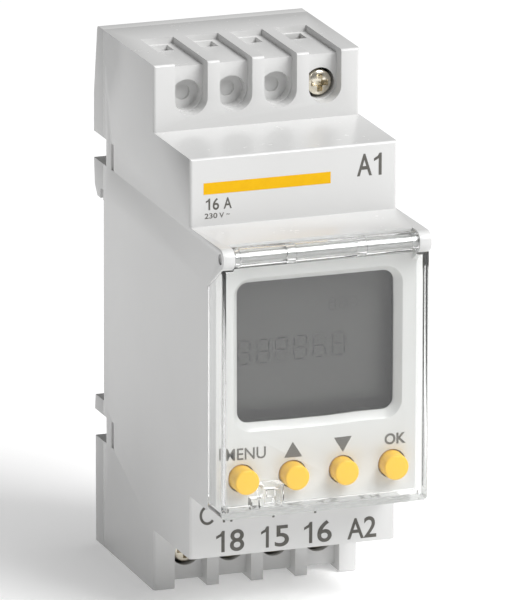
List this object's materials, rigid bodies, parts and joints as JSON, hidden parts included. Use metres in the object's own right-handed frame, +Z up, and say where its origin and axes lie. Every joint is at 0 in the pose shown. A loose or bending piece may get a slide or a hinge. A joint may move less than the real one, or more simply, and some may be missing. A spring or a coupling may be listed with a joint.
{
  "type": "din rail timer",
  "caption": "Two-module electronic timer that clips to a mounting rail, with a display, four push buttons, a hinged clear cover and screw terminals.",
  "frame": {"origin": "middle of the rail seat, level with the centre line of the rail", "axes": "+X to the right seen from the front, +Y back towards the rail, +Z up"},
  "size_m": [0.036, 0.0639, 0.09],
  "materials": {
    "housing_plastic": "light grey moulded, semi-matt",
    "base_plastic": "light grey moulded, semi-matt",
    "clip_plastic": "light grey moulded",
    "clear_plastic": "clear moulded polycarbonate",
    "pin_plastic": "light grey, smooth",
    "display_glass": "grey liquid-crystal cell",
    "black_plastic": "black moulded",
    "conductive_rubber": "striped contact rubber",
    "circuit_board": "green solder mask",
    "cell_steel": "bright pressed steel",
    "film_case": "yellow potted case",
    "sleeve": "dark shrink sleeve",
    "ceramic_blue": "blue epoxy coat",
    "tinned_wire": "tinned wire",
    "button_yellow": "yellow moulded, satin",
    "switch_black": "black moulded",
    "switch_brown": "dark moulded",
    "screw_steel": "nickel-plated steel",
    "clamp_steel": "zinc-plated steel",
    "bar_brass": "tinned brass bar"
  },
  "bodies": {
    "housing": {"backup_battery": "cell_steel", "battery_holder": "black_plastic", "clock_crystal": "cell_steel", "contact_strip": "conductive_rubber", "display_board": "circuit_board", "film_capacitor": "film_case", "front_housing": "housing_plastic", "hinge_pin": "pin_plastic", "lcd_frame": "black_plastic", "lcd_glass": "display_glass", "lcd_window": "clear_plastic", "microcontroller": "black_plastic", "power_board": "circuit_board", "rear_base": "base_plastic", "relay": "black_plastic", "riser_board": "circuit_board", "riser_sockets": "black_plastic", "smoothing_capacitors": "sleeve", "tact_switch_down": "switch_black", "tact_switch_menu": "switch_black", "tact_switch_ok": "switch_black", "tact_switch_up": "switch_black", "terminal_bar_low_1": "bar_brass", "terminal_bar_low_2": "bar_brass", "terminal_bar_low_3": "bar_brass", "terminal_bar_low_4": "bar_brass", "terminal_bar_top": "bar_brass", "varistor": "ceramic_blue", "varistor_legs": "tinned_wire"},
    "cover": {"clear_cover": "clear_plastic"},
    "rail_clip": {"din_clip": "clip_plastic"},
    "key_menu": {"button_menu": "button_yellow", "switch_plunger_menu": "switch_brown"},
    "key_up": {"button_up": "button_yellow", "switch_plunger_up": "switch_brown"},
    "key_down": {"button_down": "button_yellow", "switch_plunger_down": "switch_brown"},
    "key_ok": {"button_ok": "button_yellow", "switch_plunger_ok": "switch_brown"},
    "screw_top": {"terminal_screw_top": "screw_steel"},
    "cage_top": {"clamp_cage_top": "clamp_steel"},
    "screw_low_1": {"terminal_screw_low_1": "screw_steel"},
    "cage_low_1": {"clamp_cage_low_1": "clamp_steel"},
    "screw_low_2": {"terminal_screw_low_2": "screw_steel"},
    "cage_low_2": {"clamp_cage_low_2": "clamp_steel"},
    "screw_low_3": {"terminal_screw_low_3": "screw_steel"},
    "cage_low_3": {"clamp_cage_low_3": "clamp_steel"},
    "screw_low_4": {"terminal_screw_low_4": "screw_steel"},
    "cage_low_4": {"clamp_cage_low_4": "clamp_steel"}
  },
  "joints": [
    {"name": "cover_hinge", "type": "hinge", "parent": "housing", "child": "cover", "pos_m": [0, -0.05725, 0.021], "axis": [-1, 0, 0], "range_deg": [0, 130]},
    {"name": "press_menu", "type": "slide", "parent": "housing", "child": "key_menu", "axis": [0, 1, 0], "range_m": [0, 0.0006], "stiffness_N_per_m": 900, "springref_m": -0.0003},
    {"name": "press_up", "type": "slide", "parent": "housing", "child": "key_up", "axis": [0, 1, 0], "range_m": [0, 0.0006], "stiffness_N_per_m": 900, "springref_m": -0.0003},
    {"name": "press_down", "type": "slide", "parent": "housing", "child": "key_down", "axis": [0, 1, 0], "range_m": [0, 0.0006], "stiffness_N_per_m": 900, "springref_m": -0.0003},
    {"name": "press_ok", "type": "slide", "parent": "housing", "child": "key_ok", "axis": [0, 1, 0], "range_m": [0, 0.0006], "stiffness_N_per_m": 900, "springref_m": -0.0003},
    {"name": "clip_pull", "type": "slide", "parent": "housing", "child": "rail_clip", "axis": [0, 0, -1], "range_m": [0, 0.003], "stiffness_N_per_m": 3000, "springref_m": -0.001},
    {"name": "turn_top", "type": "hinge", "parent": "housing", "child": "screw_top", "pos_m": [0.01195, -0.0225, 0.0393], "axis": [0, 1, 0], "range_deg": [0, 1730]},
    {"name": "lift_top", "type": "slide", "parent": "housing", "child": "cage_top", "axis": [0, -1, 0], "range_m": [0, 0.0024]},
    {"name": "turn_low_1", "type": "hinge", "parent": "housing", "child": "screw_low_1", "pos_m": [-0.01145, -0.0225, -0.03885], "axis": [0, 1, 0], "range_deg": [0, 1730]},
    {"name": "lift_low_1", "type": "slide", "parent": "housing", "child": "cage_low_1", "axis": [0, -1, 0], "range_m": [0, 0.0024]},
    {"name": "turn_low_2", "type": "hinge", "parent": "housing", "child": "screw_low_2", "pos_m": [-0.00365, -0.0225, -0.03885], "axis": [0, 1, 0], "range_deg": [0, 1730]},
    {"name": "lift_low_2", "type": "slide", "parent": "housing", "child": "cage_low_2", "axis": [0, -1, 0], "range_m": [0, 0.0024]},
    {"name": "turn_low_3", "type": "hinge", "parent": "housing", "child": "screw_low_3", "pos_m": [0.00415, -0.0225, -0.03885], "axis": [0, 1, 0], "range_deg": [0, 1730]},
    {"name": "lift_low_3", "type": "slide", "parent": "housing", "child": "cage_low_3", "axis": [0, -1, 0], "range_m": [0, 0.0024]},
    {"name": "turn_low_4", "type": "hinge", "parent": "housing", "child": "screw_low_4", "pos_m": [0.01195, -0.0225, -0.03885], "axis": [0, 1, 0], "range_deg": [0, 1730]},
    {"name": "lift_low_4", "type": "slide", "parent": "housing", "child": "cage_low_4", "axis": [0, -1, 0], "range_m": [0, 0.0024]}
  ],
  "couplings": [
    {"joint": "turn_top", "follows": "lift_top", "rad_per_m": 12566},
    {"joint": "turn_low_1", "follows": "lift_low_1", "rad_per_m": 12566},
    {"joint": "turn_low_2", "follows": "lift_low_2", "rad_per_m": 12566},
    {"joint": "turn_low_3", "follows": "lift_low_3", "rad_per_m": 12566},
    {"joint": "turn_low_4", "follows": "lift_low_4", "rad_per_m": 12566}
  ]
}
